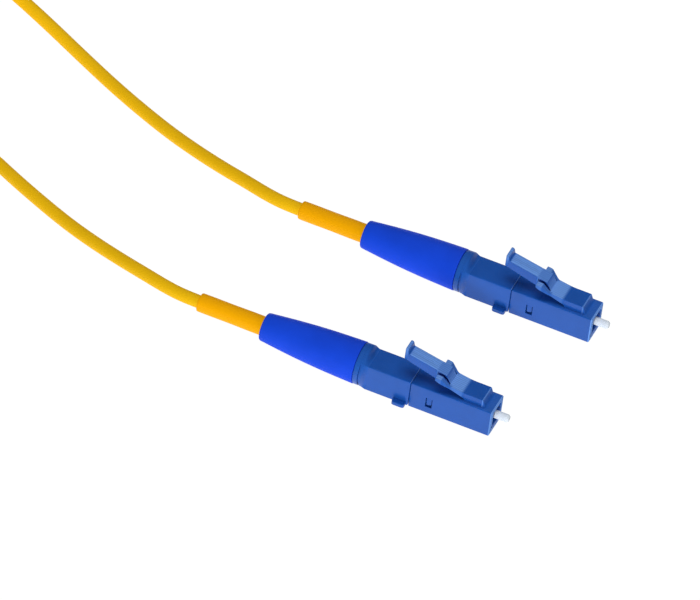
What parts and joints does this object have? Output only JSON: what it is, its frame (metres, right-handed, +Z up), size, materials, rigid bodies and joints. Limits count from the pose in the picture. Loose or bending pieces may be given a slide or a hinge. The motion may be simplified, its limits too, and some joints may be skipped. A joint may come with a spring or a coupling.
{
  "type": "fibre optic patch cable",
  "caption": "Yellow simplex fibre patch cable with a blue latching plug, tapered boot and white ferrule at each end, its spare length coiled and tied.",
  "frame": {"origin": "middle of the two plugs' box, on the surface they rest on; the free cable is left out", "axes": "+X along both plugs, towards the ferrule tips; +Z up"},
  "size_m": [0.1363, 0.0517, 0.0103],
  "materials": {
    "housing_blue": "satin moulded",
    "boot_blue": "satin moulded",
    "ferrule_white": "polished",
    "nickel_metal": "nickel plated",
    "spring_steel": "drawn wire",
    "guide_white": "plain",
    "yarn_yellow": "loose yarn",
    "crimp_metal": "crimped",
    "jacket_yellow": "satin extruded",
    "sleeve_yellow": "shrunk on",
    "buffer_white": "plain",
    "tie_black": "hook and loop"
  },
  "bodies": {
    "cable": {"front_housing_a": "housing_blue", "rear_housing_a": "housing_blue", "ferrule_spring_a": "spring_steel", "crimp_post_a": "nickel_metal", "aramid_yarn_a": "yarn_yellow", "crimp_sleeve_a": "crimp_metal", "jacket_end_a": "jacket_yellow", "boot_a": "boot_blue", "strain_sleeve_a": "sleeve_yellow", "front_housing_b": "housing_blue", "rear_housing_b": "housing_blue", "ferrule_spring_b": "spring_steel", "crimp_post_b": "nickel_metal", "aramid_yarn_b": "yarn_yellow", "crimp_sleeve_b": "crimp_metal", "jacket_end_b": "jacket_yellow", "boot_b": "boot_blue", "strain_sleeve_b": "sleeve_yellow", "cable_run_a": "jacket_yellow", "cable_run_b": "jacket_yellow", "cable_coil": "jacket_yellow", "coil_tie": "tie_black"},
    "latch_a": {"latch_lever_a": "housing_blue"},
    "ferrule_a": {"ferrule_a": "ferrule_white", "ferrule_flange_a": "nickel_metal", "guide_tube_a": "guide_white", "fibre_a": "buffer_white"},
    "latch_b": {"latch_lever_b": "housing_blue"},
    "ferrule_b": {"ferrule_b": "ferrule_white", "ferrule_flange_b": "nickel_metal", "guide_tube_b": "guide_white", "fibre_b": "buffer_white"}
  },
  "joints": [
    {"name": "latch_press_a", "type": "hinge", "parent": "cable", "child": "latch_a", "pos_m": [0.01532, -0.0129, 0.00526], "axis": [0, -1, 0], "range_deg": [0, 12], "stiffness_Nm_per_rad": 0.15},
    {"name": "ferrule_push_a", "type": "slide", "parent": "cable", "child": "ferrule_a", "axis": [-1, 0, 0], "range_m": [0, 0.0008], "stiffness_N_per_m": 1000, "deforming": ["ferrule_spring_a"]},
    {"name": "latch_press_b", "type": "hinge", "parent": "cable", "child": "latch_b", "pos_m": [0.02031, 0.0129, 0.00526], "axis": [0, -1, 0], "range_deg": [0, 12], "stiffness_Nm_per_rad": 0.15},
    {"name": "ferrule_push_b", "type": "slide", "parent": "cable", "child": "ferrule_b", "axis": [-1, 0, 0], "range_m": [0, 0.0008], "stiffness_N_per_m": 1000, "deforming": ["ferrule_spring_b"]}
  ]
}
